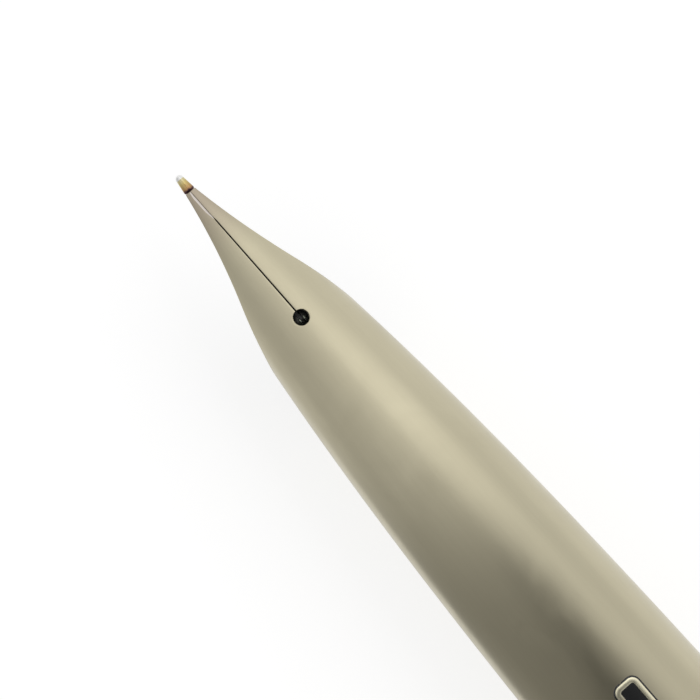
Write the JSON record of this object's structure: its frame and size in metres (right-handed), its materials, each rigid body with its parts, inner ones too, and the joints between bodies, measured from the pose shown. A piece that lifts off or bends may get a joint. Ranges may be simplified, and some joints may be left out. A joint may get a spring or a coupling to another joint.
{
  "type": "fountain pen",
  "caption": "Slim steel fountain pen whose nib and grip are one piece, with feed, piston converter, screwed barrel and a clipped cap posted on its tail.",
  "frame": {"origin": "on the pen's axis, in the middle of the barrel's straight part, which a sleeve or holder can grip", "axes": "the nib points to -X and the posted cap's crown to +X; the nib's top face looks to +Z; the clip stands towards -Y and down"},
  "size_m": [0.1486, 0.0147, 0.0124],
  "materials": {
    "satin_steel": "satin, warm grey, fine lengthwise grain",
    "bright_steel": "polished",
    "spring_steel": "bare spring steel",
    "weld_gold": "polished, gold-coloured",
    "hard_alloy": "polished hard alloy",
    "brass": "turned",
    "feed_plastic": "satin black",
    "black_plastic": "black",
    "clear_plastic": "clear, slightly smoky",
    "rubber": "matt black"
  },
  "bodies": {
    "section": {"nib_section": "satin_steel", "tip_weld": "weld_gold", "tip_point": "hard_alloy", "feed": "feed_plastic", "feed_sleeve": "black_plastic", "section_liner": "black_plastic", "section_seal": "rubber", "section_ring": "bright_steel"},
    "converter": {"converter_mouth": "bright_steel", "converter_tube": "clear_plastic", "converter_sleeve": "bright_steel"},
    "knob": {"converter_knob": "black_plastic", "drive_nut": "brass"},
    "piston": {"piston_screw": "bright_steel", "piston_seal": "rubber"},
    "barrel": {"barrel_ring": "black_plastic", "barrel_tube": "satin_steel", "barrel_bush": "brass", "tail_plug": "bright_steel"},
    "cap": {"cap_tube": "satin_steel", "cap_lip": "bright_steel", "cap_clutch": "spring_steel", "cap_liner": "black_plastic", "crown_block": "brass", "crown_ring": "black_plastic", "crown_cap": "bright_steel", "clip_pin": "spring_steel", "clip_spring": "spring_steel"},
    "clip": {"clip": "bright_steel", "clip_bead": "bright_steel"}
  },
  "joints": [
    {"name": "barrel_off", "type": "slide", "parent": "section", "child": "barrel", "axis": [1, 0, 0], "range_m": [0, 0.045]},
    {"name": "converter_off", "type": "slide", "parent": "section", "child": "converter", "axis": [1, 0, 0], "range_m": [0, 0.007]},
    {"name": "piston_travel", "type": "slide", "parent": "converter", "child": "piston", "axis": [-1, 0, 0], "range_m": [0, 0.015]},
    {"name": "knob_turn", "type": "hinge", "parent": "converter", "child": "knob", "pos_m": [0.0142, 0, 0], "axis": [1, 0, 0], "range_deg": [0, 2700]},
    {"name": "cap_off", "type": "slide", "parent": "barrel", "child": "cap", "axis": [1, 0, 0], "range_m": [0, 0.036]},
    {"name": "clip_lift", "type": "hinge", "parent": "cap", "child": "clip", "pos_m": [0.0783, -0.0037, -0.00219], "axis": [0, -0.5089, 0.8608], "range_deg": [0, 8], "stiffness_Nm_per_rad": 0.2, "deforming": ["clip_spring"]}
  ],
  "couplings": [
    {"joint": "knob_turn", "follows": "piston_travel", "rad_per_m": 3141.6}
  ]
}
